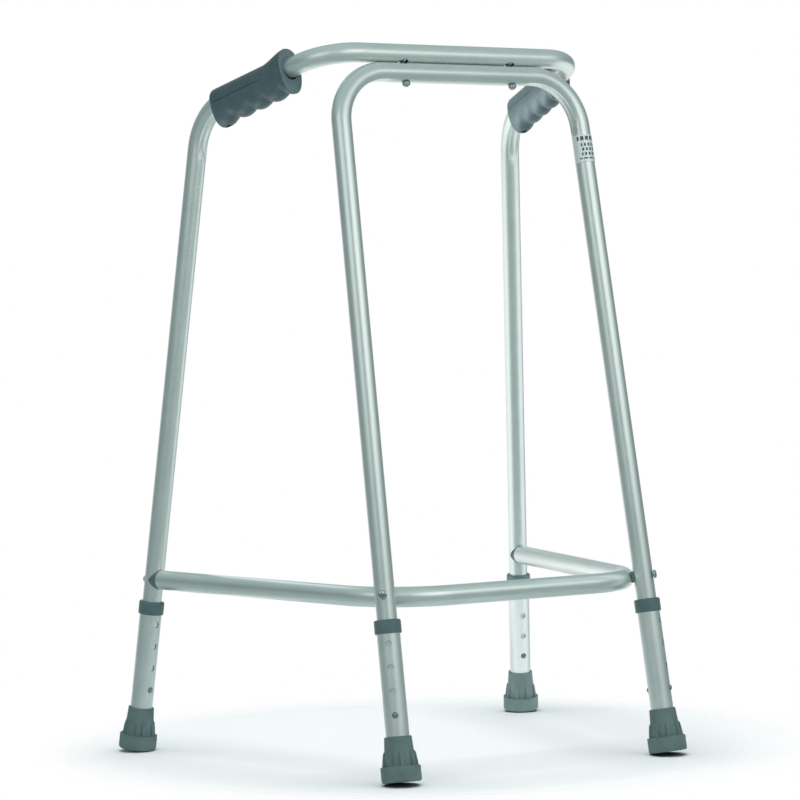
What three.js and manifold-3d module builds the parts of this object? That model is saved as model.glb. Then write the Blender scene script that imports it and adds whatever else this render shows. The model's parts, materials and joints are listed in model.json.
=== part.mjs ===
// An adjustable aluminium walking frame, in millimetres.
// +Z is up. The user stands on the +Y side and faces -Y, so the user's right hand is at -X.
import * as THREE from 'three';
import { mergeVertices } from 'three/addons/utils/BufferGeometryUtils.js';
import Module from 'manifold-3d';

const wasm = await Module();
wasm.setup();

// ---- Driving dimensions ----

const TUBE_RADIUS = 11.1;
const TUBE_WALL = 1.5;
const SLEEVE_RADIUS = 12.7;
const SLEEVE_WALL = 1.1;
const GAP = 0.3;

// Centre lines: where each leg's axis meets the floor, and the corners before they are rounded.
const REAR_FOOT = { x: 271.2, y: 212.3, z: 0 };
const RAIL_REAR_CORNER = { x: 213.5, y: 131.5, z: 736 };
const RAIL_FRONT_CORNER = { x: 169, y: -70.5, z: 789 };
const RAIL_REAR_BEND = 64;
const RAIL_FRONT_BEND = 53;
const FRONT_FOOT = { x: 177.6, y: -212.5, z: 0 };
const FRONT_CORNER = { x: 159, y: -77.5, z: 767.5 };
const FRONT_BEND = 60;
const BRACE_CORNER = { x: 167.4, y: -183.8, z: 195.5 };
const BRACE_REAR_HEIGHT = 199;
const BRACE_BEND = 89.5;

// Heights along a leg, from the middle of its ferrule's sole.
const FRAME_TUBE_END = 46;
const BUTTON_HEIGHT = 70.7;
const HOLE_PITCH = 25.4;
const HOLE_COUNT = 4;
const SLEEVE_TOP = 164;
const COLLAR_BOTTOM = 158;
const COLLAR_TOP = 173;

const HOLE_RADIUS = 3.4;
const BUTTON_RADIUS = 3.1;
const BUTTON_REACH = 14.6;
const SCREW_RADIUS = 2.4;
const SCREW_HOLE_RADIUS = 2.9;
const SCREW_HEAD_RADIUS = 4.95;
const NUT_RADIUS = 4.6;
const NUT_BORE_RADIUS = 3.1;
const DRILL_REACH = 15;  // how far a hole's drill runs on each side of its tube's axis

// The turn of each leg's button holes about the leg, from straight ahead towards the outside.
const FRONT_BUTTON_TURN = THREE.MathUtils.degToRad(35);
const REAR_BUTTON_TURN = THREE.MathUtils.degToRad(-13);

const FERRULE_SOLE_RADIUS = 20;
const FERRULE_RING_RADIUS = 21.6;
const FERRULE_RING_TOP = 17;
const FERRULE_HEIGHT = 48.5;
const FERRULE_FLOOR = 10;
const GUSSET_COUNT = 8;
const WASHER_THICKNESS = 1.5;

const GRIP_START = 31;
const GRIP_LENGTH = 124;
const TOP_SCREW_OFFSET = 71.4;
const LABEL_BOTTOM = 675.5;
const LABEL_HEIGHT = 32;

// How finely round shapes are faceted.
const TUBE_SIDES = 16;
const BEND_SLICES = 5;
const HOLE_SIDES = 8;
const SMALL_SIDES = 10;
const FERRULE_SIDES = 20;

const finish = (color, roughness, metalness) =>
  new THREE.MeshStandardMaterial({ color, roughness, metalness });
const ALUMINIUM = finish('#aebab5', 0.35, 0.9);
const ZINC = finish('#b9bdb8', 0.3, 1);
const SPRING_STEEL = finish('#6f7678', 0.4, 0.9);
const RUBBER = finish('#66777a', 0.85, 0);
const GRIP_VINYL = finish('#4a5a61', 0.6, 0);
const DARK_PLASTIC = finish('#4c5b62', 0.5, 0);
const FOIL = finish('#d5dad6', 0.45, 0.3);

// ---- Geometry helpers ----

const vector = ({ x, y, z }, side = 1) => new THREE.Vector3(side * x, y, z);

// A placed frame: its X axis is as given, and its Z axis is as near to `up` as a right angle allows.
function placeAt(origin, xAxis, up) {
  const x = xAxis.clone().normalize();
  const y = up.clone().cross(x).normalize();
  const z = x.clone().cross(y);
  return new THREE.Matrix4().makeBasis(x, y, z).setPosition(origin);
}

// Straight runs joined by round bends. One step of the parameter is a whole straight run or one
// slice of a bend, so a sweep puts no needless sections on the straight runs.
class BentPath extends THREE.Curve {
  constructor(corners, radii) {
    super();
    this.points = [corners[0]];
    this.tangents = [corners[1].clone().sub(corners[0]).normalize()];
    for (let i = 1; i < corners.length - 1; i += 1) {
      this.addBend(corners[i - 1], corners[i], corners[i + 1], radii[i - 1]);
    }
    this.points.push(corners.at(-1));
    this.tangents.push(this.tangents.at(-1).clone());
    this.steps = this.points.length - 1;
  }

  addBend(before, corner, after, radius) {
    const into = corner.clone().sub(before).normalize();
    const out = after.clone().sub(corner).normalize();
    const turn = into.angleTo(out);
    const axis = into.clone().cross(out).normalize();
    const start = corner.clone().addScaledVector(into, -radius * Math.tan(turn / 2));
    const toCentre = axis.clone().cross(into).multiplyScalar(radius);
    const centre = start.clone().add(toCentre);
    for (let slice = 0; slice <= BEND_SLICES; slice += 1) {
      const angle = (turn * slice) / BEND_SLICES;
      this.points.push(toCentre.clone().negate().applyAxisAngle(axis, angle).add(centre));
      this.tangents.push(into.clone().applyAxisAngle(axis, angle));
    }
  }

  getUtoTmapping(u) {
    return u;
  }

  getPoint(t) {
    return this.points[Math.round(t * this.steps)].clone();
  }

  getTangent(t) {
    return this.tangents[Math.round(t * this.steps)].clone();
  }
}

function ringShape(outer, inner) {
  const shape = new THREE.Shape().absarc(0, 0, outer, 0, 2 * Math.PI);
  shape.holes.push(new THREE.Path().absarc(0, 0, inner, 0, 2 * Math.PI, true));
  return shape;
}

function bentTube(path) {
  const options = { steps: path.steps, extrudePath: path, curveSegments: TUBE_SIDES / 2 };
  return new THREE.ExtrudeGeometry(ringShape(TUBE_RADIUS, TUBE_RADIUS - TUBE_WALL), options);
}

function toSolid(geometry) {
  const bare = geometry.clone();
  bare.deleteAttribute('normal');
  bare.deleteAttribute('uv');
  const merged = mergeVertices(bare);
  const corners = merged.index.array;
  const triangles = [];
  for (let i = 0; i < corners.length; i += 3) {
    const [a, b, c] = corners.slice(i, i + 3);
    if (a !== b && b !== c && c !== a) triangles.push(a, b, c);
  }
  return new wasm.Manifold(new wasm.Mesh({
    numProp: 3,
    vertProperties: merged.attributes.position.array,
    triVerts: Uint32Array.from(triangles),
  }));
}

function toGeometry(solid) {
  const { vertProperties, triVerts } = solid.getMesh();
  const geometry = new THREE.BufferGeometry();
  geometry.setAttribute('position', new THREE.Float32BufferAttribute(vertProperties, 3));
  geometry.setIndex([...triVerts]);
  return geometry;
}

const cut = (geometry, tools) =>
  toGeometry(tools.reduce((solid, tool) => solid.subtract(toSolid(tool)), toSolid(geometry)));
const join = (geometry, additions) =>
  toGeometry(additions.reduce((solid, extra) => solid.add(toSolid(extra)), toSolid(geometry)));

// A solid turned about the Z axis from [radius, height] points, going up its outside.
function turned(profile, sides = SMALL_SIDES) {
  const points = profile.map(([radius, height]) => new THREE.Vector2(radius, height));
  return new THREE.LatheGeometry(points, sides).rotateX(Math.PI / 2);
}

// The same, turned about the X axis, with the heights running along +X.
const turnedAlongX = (profile, sides) => turned(profile, sides).rotateY(Math.PI / 2);

function rodAlongX(radius, from, to, sides = SMALL_SIDES, height = 0) {
  const rod = new THREE.CylinderGeometry(radius, radius, to - from, sides).rotateZ(Math.PI / 2);
  return rod.translate((from + to) / 2, 0, height);
}

const ringProfile = (outer, inner, bottom, top) =>
  [[inner, bottom], [outer, bottom], [outer, top], [inner, top], [inner, bottom]];

function panScrew(headFace, tip) {
  const [edge, shoulder, crown] = [headFace + 1.3, headFace + 2.5, headFace + 2.9];
  return turnedAlongX([
    [0, tip], [SCREW_RADIUS, tip], [SCREW_RADIUS, headFace], [SCREW_HEAD_RADIUS, headFace],
    [SCREW_HEAD_RADIUS, edge], [SCREW_HEAD_RADIUS * 0.79, shoulder], [0, crown],
  ]);
}

const HEX_SIDES = 6;
const hexNut = (from, to) =>
  turnedAlongX(ringProfile(NUT_RADIUS, NUT_BORE_RADIUS, from, to), HEX_SIDES);

const model = new THREE.Group();

function addPiece(name, geometry, material, placement) {
  const mesh = new THREE.Mesh(geometry, material);
  mesh.name = name;
  if (placement) mesh.applyMatrix4(placement);
  model.add(mesh);
}

// ---- Legs: where they stand, and the pieces that slide on them ----

function makeLeg(name, side, foot, corner, buttonTurn, ferruleTurn) {
  const floorPoint = vector(foot, side);
  const direction = vector(corner, side).sub(floorPoint).normalize();
  const tilt = direction.angleTo(new THREE.Vector3(0, 0, 1));
  const sole = floorPoint.clone().addScaledVector(direction, FERRULE_SOLE_RADIUS * Math.tan(tilt));
  const outward = new THREE.Vector3(side * Math.sin(buttonTurn), -Math.cos(buttonTurn), 0);
  const across = outward.addScaledVector(direction, -outward.dot(direction));
  const at = (height) => sole.clone().addScaledVector(direction, height);
  const atLevel = (z) => at((z - sole.z) / direction.z);
  const nearest = (point) => at(point.clone().sub(sole).dot(direction));
  const placement = placeAt(sole, across, direction);
  return { name, side, direction, at, atLevel, nearest, placement, ferruleTurn };
}

// Each ferrule was pushed on at its own turn, given here in degrees.
const frontLeg = (name, side, ferruleTurn) =>
  makeLeg(name, side, FRONT_FOOT, FRONT_CORNER, FRONT_BUTTON_TURN, ferruleTurn);
const rearLeg = (name, side, ferruleTurn) =>
  makeLeg(name, side, REAR_FOOT, RAIL_REAR_CORNER, REAR_BUTTON_TURN, ferruleTurn);
const frontRight = frontLeg('front_right', -1, -11.5);
const rearRight = rearLeg('rear_right', -1, 0);
const frontLeft = frontLeg('front_left', 1, 7);
const rearLeft = rearLeg('rear_left', 1, -15);
const legs = [frontRight, rearRight, frontLeft, rearLeft];

function legExtension() {
  const bottom = FERRULE_FLOOR + WASHER_THICKNESS + 2 * GAP;
  const profile = ringProfile(SLEEVE_RADIUS, SLEEVE_RADIUS - SLEEVE_WALL, bottom, SLEEVE_TOP);
  const holes = Array.from({ length: HOLE_COUNT }, (_, i) => {
    const height = BUTTON_HEIGHT + i * HOLE_PITCH;
    return rodAlongX(HOLE_RADIUS, -DRILL_REACH, DRILL_REACH, HOLE_SIDES, height);
  });
  return cut(turned(profile, TUBE_SIDES), holes);
}

function collar() {
  const outer = 14.6;
  const topChamfer = 1.7;
  const bottomChamfer = 1.1;
  const lip = TUBE_RADIUS + GAP;
  const bore = SLEEVE_RADIUS + GAP;
  const shoulder = SLEEVE_TOP + GAP;
  return turned([
    [bore, COLLAR_BOTTOM], [outer - bottomChamfer, COLLAR_BOTTOM],
    [outer, COLLAR_BOTTOM + bottomChamfer], [outer, COLLAR_TOP - topChamfer],
    [outer - topChamfer, COLLAR_TOP], [lip, COLLAR_TOP], [lip, shoulder], [bore, shoulder],
    [bore, COLLAR_BOTTOM],
  ], TUBE_SIDES);
}

// Flat gussets stand round the cone of the ferrule, on top of its thick ring.
function ferruleGussets() {
  const thickness = 4.6;
  const [root, foot, tip] = [14, 19.4, 17.4];
  const [bottom, shoulder, top] = [FERRULE_RING_TOP - 2, FERRULE_RING_TOP + 1, FERRULE_RING_TOP + 17];
  const outline = new THREE.Shape([
    new THREE.Vector2(root, bottom), new THREE.Vector2(foot, bottom), new THREE.Vector2(foot, shoulder),
    new THREE.Vector2(tip, top - 2.5), new THREE.Vector2(root, top),
  ]);
  return Array.from({ length: GUSSET_COUNT }, (_, i) => {
    const gusset = new THREE.ExtrudeGeometry(outline, { depth: thickness, bevelEnabled: false });
    gusset.translate(0, 0, -thickness / 2).rotateX(Math.PI / 2);
    return gusset.rotateZ(((i + 0.5) * 2 * Math.PI) / GUSSET_COUNT);
  });
}

function ferrule(turnDegrees) {
  const bore = SLEEVE_RADIUS + GAP;
  const soleChamfer = 1.6;
  const coneBottom = 17;
  const coneTop = 14.7;
  const body = turned([
    [0, 0], [FERRULE_SOLE_RADIUS, 0], [FERRULE_RING_RADIUS, soleChamfer],
    [FERRULE_RING_RADIUS, FERRULE_RING_TOP], [coneBottom, FERRULE_RING_TOP],
    [coneTop, FERRULE_HEIGHT], [bore, FERRULE_HEIGHT], [bore, FERRULE_FLOOR], [0, FERRULE_FLOOR],
  ], FERRULE_SIDES);
  return join(body, ferruleGussets()).rotateZ(THREE.MathUtils.degToRad(turnDegrees));
}

function ferruleWasher() {
  const radius = 12.2;
  const bottom = FERRULE_FLOOR + GAP;
  const top = bottom + WASHER_THICKNESS;
  return turned([[0, bottom], [radius, bottom], [radius, top], [0, top]], TUBE_SIDES);
}

// A V of leaf spring with its bend uppermost, behind the buttons. It can't flex here, so each arm has
// a clearance hole that its button slides into.
function springClip() {
  const leaf = 0.8;
  const width = 9;
  const armX = 8.2;
  const foot = BUTTON_HEIGHT - 6;
  const armTop = BUTTON_HEIGHT + 4.5;
  const bendCentre = BUTTON_HEIGHT + 24;
  const bendRadius = 4.5;
  const outline = new THREE.Shape();
  outline.moveTo(armX, foot);
  outline.lineTo(armX, armTop);
  outline.lineTo(bendRadius, bendCentre);
  outline.absarc(0, bendCentre, bendRadius, 0, Math.PI);
  outline.lineTo(-armX, armTop);
  outline.lineTo(-armX, foot);
  outline.lineTo(-armX + leaf, foot);
  outline.lineTo(-armX + leaf, armTop);
  outline.lineTo(-bendRadius + leaf, bendCentre);
  outline.absarc(0, bendCentre, bendRadius - leaf, Math.PI, 0, true);
  outline.lineTo(armX - leaf, armTop);
  outline.lineTo(armX - leaf, foot);
  const options = { depth: width, bevelEnabled: false, curveSegments: 4 };
  const strip = new THREE.ExtrudeGeometry(outline, options);
  strip.translate(0, 0, -width / 2).rotateX(Math.PI / 2);
  return cut(strip, [rodAlongX(HOLE_RADIUS, -DRILL_REACH, DRILL_REACH, HOLE_SIDES, BUTTON_HEIGHT)]);
}

// A button points along +X, or along -X where its side is -1.
function springButton(side) {
  const base = 8.5;
  const button = turnedAlongX([
    [0, base], [BUTTON_RADIUS, base], [BUTTON_RADIUS, BUTTON_REACH - 1.3],
    [BUTTON_RADIUS * 0.68, BUTTON_REACH - 0.4], [0, BUTTON_REACH],
  ]);
  return (side < 0 ? button.rotateZ(Math.PI) : button).translate(0, 0, BUTTON_HEIGHT);
}

for (const { name, placement, ferruleTurn } of legs) {
  addPiece(`${name}_leg_extension`, legExtension(), ALUMINIUM, placement);
  addPiece(`${name}_collar`, collar(), DARK_PLASTIC, placement);
  addPiece(`${name}_ferrule`, ferrule(ferruleTurn), RUBBER, placement);
  addPiece(`${name}_ferrule_washer`, ferruleWasher(), ZINC, placement);
  addPiece(`${name}_spring_clip`, springClip(), SPRING_STEEL, placement);
  addPiece(`${name}_outer_button`, springButton(1), SPRING_STEEL, placement);
  addPiece(`${name}_inner_button`, springButton(-1), SPRING_STEEL, placement);
}

// ---- Where the tubes are joined ----

// The brace: a U whose ends butt on the rear legs through saddle plugs.
const BRACE_END_CLEARANCE = 14;
const braceRearPoints = [rearRight, rearLeft].map((leg) => leg.atLevel(BRACE_REAR_HEIGHT));
const braceCorners = [vector(BRACE_CORNER, -1), vector(BRACE_CORNER, 1)];
const braceRuns = braceRearPoints.map((end, i) => end.clone().sub(braceCorners[i]).normalize());
const braceEnds = braceRearPoints.map((end, i) =>
  end.clone().addScaledVector(braceRuns[i], -BRACE_END_CLEARANCE));
const bracePath = new BentPath(
  [braceEnds[0], braceCorners[0], braceCorners[1], braceEnds[1]],
  [BRACE_BEND, BRACE_BEND],
);

// Rear joints: +X runs along the brace and out through the back of the rear leg.
const rearJoints = [rearRight, rearLeft].map((leg, i) => ({
  name: leg.name,
  legDirection: leg.direction,
  placement: placeAt(braceRearPoints[i], braceRuns[i], leg.direction),
}));

// Front joints: +X runs from the brace's bend out through the front leg, square to the leg.
const frontJoints = [frontRight, frontLeft].map((leg, i) => {
  const sideways = new THREE.Vector3(-leg.side, 0, 0);
  const backward = braceRuns[i];
  const halfAngle = sideways.angleTo(backward) / 2;
  const toCentre = sideways.clone().add(backward).normalize();
  const bendCentre = braceCorners[i].clone().addScaledVector(toCentre, BRACE_BEND / Math.sin(halfAngle));
  const spoke = leg.atLevel(BRACE_CORNER.z).sub(bendCentre).setZ(0).normalize();
  const bracePoint = bendCentre.clone().addScaledVector(spoke, BRACE_BEND);
  const crossing = leg.nearest(bracePoint);
  const outward = crossing.clone().sub(bracePoint);
  return {
    name: leg.name,
    leg,
    bracePoint,
    spacing: outward.length(),
    tangent: spoke.clone().cross(new THREE.Vector3(0, 0, 1)),
    placement: placeAt(crossing, outward, leg.direction),
  };
});

// Top joints: +X runs from the front frame's top bar up into the hand rail's crossbar.
const topBarPoint = (x) => new THREE.Vector3(x, FRONT_CORNER.y, FRONT_CORNER.z);
const barToRail = new THREE.Vector3(
  0,
  RAIL_FRONT_CORNER.y - FRONT_CORNER.y,
  RAIL_FRONT_CORNER.z - FRONT_CORNER.z,
);
const BAR_SPACING = barToRail.length();
const topJoints = [['right', -1], ['left', 1]].map(([name, side]) => ({
  name,
  placement: placeAt(topBarPoint(side * TOP_SCREW_OFFSET), barToRail, new THREE.Vector3(0, -1, 0)),
}));

const placed = (geometry, placement) => geometry.applyMatrix4(placement);
const screwHole = (joint, middle = 0) => placed(
  rodAlongX(SCREW_HOLE_RADIUS, middle - DRILL_REACH, middle + DRILL_REACH, HOLE_SIDES),
  joint.placement,
);
const buttonHole = (leg) => placed(
  rodAlongX(HOLE_RADIUS, -DRILL_REACH, DRILL_REACH, HOLE_SIDES, BUTTON_HEIGHT),
  leg.placement,
);

// ---- Tubes ----

const INSERT_RADIUS = 5.6;
const RECESS_RADIUS = 7;
const RECESS_TOP = 3;  // below the rail's axis

function handRailTube() {
  const path = new BentPath([
    rearRight.at(FRAME_TUBE_END), vector(RAIL_REAR_CORNER, -1), vector(RAIL_FRONT_CORNER, -1),
    vector(RAIL_FRONT_CORNER, 1), vector(RAIL_REAR_CORNER, 1), rearLeft.at(FRAME_TUBE_END),
  ], [RAIL_REAR_BEND, RAIL_FRONT_BEND, RAIL_FRONT_BEND, RAIL_REAR_BEND]);
  const recesses = topJoints.map(({ placement }) =>
    placed(rodAlongX(RECESS_RADIUS, BAR_SPACING - DRILL_REACH, BAR_SPACING - RECESS_TOP), placement));
  return cut(bentTube(path), [
    ...[rearRight, rearLeft].map(buttonHole),
    ...rearJoints.map((joint) => screwHole(joint)),
    ...recesses,
  ]);
}

function frontFrameTube() {
  const path = new BentPath([
    frontRight.at(FRAME_TUBE_END), vector(FRONT_CORNER, -1), vector(FRONT_CORNER, 1),
    frontLeft.at(FRAME_TUBE_END),
  ], [FRONT_BEND, FRONT_BEND]);
  return cut(bentTube(path), [
    ...[frontRight, frontLeft].map(buttonHole),
    ...frontJoints.map((joint) => screwHole(joint)),
    ...topJoints.map((joint) => screwHole(joint)),
  ]);
}

function lowerBraceTube() {
  const holes = frontJoints.map((joint) => screwHole(joint, -joint.spacing));
  return cut(bentTube(bracePath), holes);
}

addPiece('hand_rail_tube', handRailTube(), ALUMINIUM);
addPiece('front_frame_tube', frontFrameTube(), ALUMINIUM);
addPiece('lower_brace_tube', lowerBraceTube(), ALUMINIUM);

// ---- Brace joints ----

// A long rod in world space, for cutting a saddle that hugs a tube.
function saddleCutter(point, direction) {
  const halfLength = 30;
  const rod = rodAlongX(TUBE_RADIUS + GAP, -halfLength, halfLength, TUBE_SIDES);
  const anyUp = Math.abs(direction.z) > 0.5 ? new THREE.Vector3(1, 0, 0) : new THREE.Vector3(0, 0, 1);
  return placed(rod, placeAt(point, direction, anyUp));
}

const LEAN_CLEARANCE = 0.8;  // the legs lean across the brace's plane
const HEAD_FACE = TUBE_RADIUS + GAP + LEAN_CLEARANCE;
const NUT_THICKNESS = 4;

for (const { name, legDirection, placement } of rearJoints) {
  const flangeEnd = -BRACE_END_CLEARANCE + GAP;
  const spigotEnd = -30;
  const spigotRadius = TUBE_RADIUS - TUBE_WALL - 0.5;
  const plug = placed(turnedAlongX([
    [0, spigotEnd], [spigotRadius, spigotEnd], [spigotRadius, flangeEnd], [TUBE_RADIUS, flangeEnd],
    [TUBE_RADIUS, 0], [0, 0],
  ], TUBE_SIDES), placement);
  const bore = placed(rodAlongX(SCREW_HOLE_RADIUS, spigotEnd - 2, 2, HOLE_SIDES), placement);
  const origin = new THREE.Vector3().setFromMatrixPosition(placement);
  const nutFace = spigotEnd - GAP;
  addPiece(`${name}_brace_plug`, cut(plug, [bore, saddleCutter(origin, legDirection)]), DARK_PLASTIC);
  addPiece(`${name}_brace_screw`, panScrew(HEAD_FACE, nutFace - NUT_THICKNESS - 1), ZINC, placement);
  addPiece(`${name}_brace_nut`, hexNut(nutFace - NUT_THICKNESS, nutFace), ZINC, placement);
}

for (const { name, leg, bracePoint, spacing, tangent, placement } of frontJoints) {
  const spacerRadius = 6.4;
  const reach = 3.5;
  const origin = new THREE.Vector3().setFromMatrixPosition(placement);
  const middle = -spacing / 2;
  const block = placed(rodAlongX(spacerRadius, middle - reach, middle + reach, TUBE_SIDES), placement);
  const bore = placed(rodAlongX(SCREW_HOLE_RADIUS, -spacing, 0, HOLE_SIDES), placement);
  const spacer = cut(block, [
    bore, saddleCutter(origin, leg.direction), saddleCutter(bracePoint, tangent),
  ]);
  const bendClearance = 0.8;
  const nutFace = -spacing - TUBE_RADIUS - GAP - bendClearance;
  addPiece(`${name}_brace_spacer`, spacer, DARK_PLASTIC);
  addPiece(`${name}_brace_screw`, panScrew(HEAD_FACE, nutFace - NUT_THICKNESS - 1), ZINC, placement);
  addPiece(`${name}_brace_nut`, hexNut(nutFace - NUT_THICKNESS, nutFace), ZINC, placement);
}

// ---- Top joints ----

for (const { name, placement } of topJoints) {
  const insertBottom = BAR_SPACING - TUBE_RADIUS + 2.6;
  const insertTop = BAR_SPACING + 3;
  const headTop = -TUBE_RADIUS - GAP;
  const headRadius = 4.6;
  const crown = headTop - 4.6;
  const screwEnd = insertTop + 2;
  const screw = turnedAlongX([
    [0, crown], [3, crown + 0.4], [4.3, crown + 1.8], [headRadius, headTop],
    [SCREW_RADIUS, headTop], [SCREW_RADIUS, screwEnd], [0, screwEnd],
  ]);
  const insert = turnedAlongX(ringProfile(INSERT_RADIUS, SCREW_HOLE_RADIUS, insertBottom, insertTop));
  addPiece(`${name}_top_screw`, screw, ZINC, placement);
  addPiece(`${name}_top_insert`, insert, ZINC, placement);
}

// ---- Handgrips ----

// How far the grip reaches above and below the rail's axis, at a distance from its rear end.
function gripTop(along) {
  const flareStart = GRIP_LENGTH - 34;
  const flare = THREE.MathUtils.smoothstep(along, flareStart, GRIP_LENGTH) * 7.5;
  return 15.5 + flare;
}

function gripBottom(along) {
  const groovePitch = 28;
  const grooveDepth = 3.4;
  const firstGroove = 29;
  const wave = 0.5 + 0.5 * Math.cos((2 * Math.PI * (along - firstGroove)) / groovePitch);
  return 29.5 - wave * grooveDepth;
}

function handgrip() {
  const halfWidth = 16;
  const bore = TUBE_RADIUS + GAP;
  const rearBore = bore + 1.6;
  const rearBoreLength = 18;
  const edge = 3;
  const sections = 15;
  const outside = Array.from({ length: sections }, (_, i) => {
    const along = edge + ((GRIP_LENGTH - edge) * i) / (sections - 1);
    return [halfWidth, along];
  });
  const profile = [
    [rearBore, 0], [halfWidth - edge / 2, 0], ...outside, [bore, GRIP_LENGTH],
    [bore, rearBoreLength], [rearBore, 0],
  ];
  const grip = turned(profile, TUBE_SIDES);
  const position = grip.attributes.position;
  for (let i = 0; i < position.count; i += 1) {
    const [x, y, z] = [position.getX(i), position.getY(i), position.getZ(i)];
    const radius = Math.hypot(x, y);
    if (radius > rearBore + 0.1) {
      const reach = y > 0 ? gripTop(z) : gripBottom(z);
      position.setY(i, (y / halfWidth) * reach);
    }
  }
  return grip;
}

for (const [name, side] of [['right', -1], ['left', 1]]) {
  const rearCorner = vector(RAIL_REAR_CORNER, side);
  const forward = vector(RAIL_FRONT_CORNER, side).sub(rearCorner).normalize();
  const start = rearCorner.clone().addScaledVector(forward, GRIP_START);
  const sideways = new THREE.Vector3(0, 0, 1).cross(forward).normalize();
  const upward = forward.clone().cross(sideways);
  const placement = new THREE.Matrix4().makeBasis(sideways, upward, forward).setPosition(start);
  addPiece(`${name}_handgrip`, handgrip(), GRIP_VINYL, placement);
}

// ---- Label: a blank foil wrapped half round the front left leg ----

function label() {
  const inner = TUBE_RADIUS + GAP;
  const outer = inner + 0.25;
  const halfTurn = THREE.MathUtils.degToRad(85);
  const outline = new THREE.Shape();
  outline.absarc(0, 0, outer, -halfTurn, halfTurn);
  outline.absarc(0, 0, inner, halfTurn, -halfTurn, true);
  const options = { depth: LABEL_HEIGHT, bevelEnabled: false, curveSegments: 6 };
  const turnToFront = THREE.MathUtils.degToRad(-50);
  return new THREE.ExtrudeGeometry(outline, options).translate(0, 0, LABEL_BOTTOM).rotateZ(turnToFront);
}

addPiece('front_left_label', label(), FOIL, frontLeft.placement);

export default model;
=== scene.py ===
"""The visual model of an adjustable aluminium walking frame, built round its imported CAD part.

Shapes are worked out in millimetres in the CAD's own frame and turned into metres when a mesh is
made. +Z is up, and the user stands on the +Y side, so the user's right hand is at -X.
"""
import json
import math

import bmesh
import bpy
import numpy as np
from mathutils import Matrix, Vector


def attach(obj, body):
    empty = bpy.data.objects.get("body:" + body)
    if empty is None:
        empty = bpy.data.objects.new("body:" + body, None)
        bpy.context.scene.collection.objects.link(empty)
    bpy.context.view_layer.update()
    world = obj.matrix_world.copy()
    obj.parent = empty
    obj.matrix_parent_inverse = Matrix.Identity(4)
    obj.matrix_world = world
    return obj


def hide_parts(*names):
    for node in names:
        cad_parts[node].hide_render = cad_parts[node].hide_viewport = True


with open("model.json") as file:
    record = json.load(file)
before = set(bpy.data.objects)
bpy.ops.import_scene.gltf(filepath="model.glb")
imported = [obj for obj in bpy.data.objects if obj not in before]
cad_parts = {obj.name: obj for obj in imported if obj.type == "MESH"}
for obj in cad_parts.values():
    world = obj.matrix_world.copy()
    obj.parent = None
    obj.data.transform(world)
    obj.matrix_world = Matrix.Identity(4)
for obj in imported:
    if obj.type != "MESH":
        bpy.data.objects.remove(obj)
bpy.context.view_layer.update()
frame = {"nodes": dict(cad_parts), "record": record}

MM = 0.001

# ---- Driving dimensions, the same as the CAD's ----

TUBE_RADIUS = 11.1
TUBE_WALL = 1.5
SLEEVE_RADIUS = 12.7
SLEEVE_WALL = 1.1
GAP = 0.3

REAR_FOOT = (271.2, 212.3, 0)
RAIL_REAR_CORNER = (213.5, 131.5, 736)
RAIL_FRONT_CORNER = (169, -70.5, 789)
RAIL_REAR_BEND = 64
RAIL_FRONT_BEND = 53
FRONT_FOOT = (177.6, -212.5, 0)
FRONT_CORNER = (159, -77.5, 767.5)
FRONT_BEND = 60
BRACE_CORNER = (167.4, -183.8, 195.5)
BRACE_REAR_HEIGHT = 199
BRACE_BEND = 89.5
BRACE_END_CLEARANCE = 14

FRAME_TUBE_END = 46
BUTTON_HEIGHT = 70.7
HOLE_PITCH = 25.4
HOLE_COUNT = 4
SLEEVE_TOP = 164
COLLAR_BOTTOM = 158
COLLAR_TOP = 173

HOLE_RADIUS = 3.4
BUTTON_RADIUS = 3.1
BUTTON_REACH = 14.6
SCREW_RADIUS = 2.4
SCREW_HOLE_RADIUS = 2.9
SCREW_HEAD_RADIUS = 4.95
FRONT_BUTTON_TURN = math.radians(35)
REAR_BUTTON_TURN = math.radians(-13)

SOLE_RADIUS = 20
FERRULE_RING_TOP = 17
FERRULE_HEIGHT = 48.5
FERRULE_FLOOR = 10
GUSSET_COUNT = 8
WASHER_THICKNESS = 1.5
GRIP_START = 31
GRIP_LENGTH = 124
TOP_SCREW_OFFSET = 71.4
LABEL_BOTTOM = 675.5
LABEL_HEIGHT = 32
LABEL_THICKNESS = 0.25
LEAN_CLEARANCE = 0.8
HEAD_FACE = TUBE_RADIUS + GAP + LEAN_CLEARANCE
NUT_THICKNESS = 4
DRILL_REACH = 15
BAR_DRILL_REACH = 12
BRACE_DRILL_REACH = 13

UP = Vector((0, 0, 1))
TO_X = Matrix.Rotation(math.pi / 2, 4, "Y")


# ---- Placing ----

def point(corner, side=1):
    return Vector((side * corner[0], corner[1], corner[2]))


def place_at(origin, x_axis, up):
    """A placed frame: X as given, and Z as near to up as a right angle allows."""
    x = x_axis.normalized()
    y = up.cross(x).normalized()
    matrix = Matrix((x, y, x.cross(y))).transposed().to_4x4()
    matrix.translation = origin
    return matrix


def ramp(value, low, high):
    """0 below low, 1 above high, smooth in between."""
    share = min(1.0, max(0.0, (value - low) / (high - low)))
    return share * share * (3 - 2 * share)


class Leg:
    def __init__(self, name, side, foot, corner, button_turn, ferrule_turn):
        floor_point = point(foot, side)
        self.name = name
        self.side = side
        self.direction = (point(corner, side) - floor_point).normalized()
        tilt = self.direction.angle(UP)
        self.sole = floor_point + self.direction * SOLE_RADIUS * math.tan(tilt)
        outward = Vector((side * math.sin(button_turn), -math.cos(button_turn), 0))
        across = outward - self.direction * outward.dot(self.direction)
        self.placement = place_at(self.sole, across, self.direction)
        self.ferrule_turn = math.radians(ferrule_turn)

    def at(self, height):
        return self.sole + self.direction * height

    def at_level(self, z):
        return self.at((z - self.sole.z) / self.direction.z)

    def nearest(self, place):
        return self.at((place - self.sole).dot(self.direction))


# ---- Mesh building ----

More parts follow.
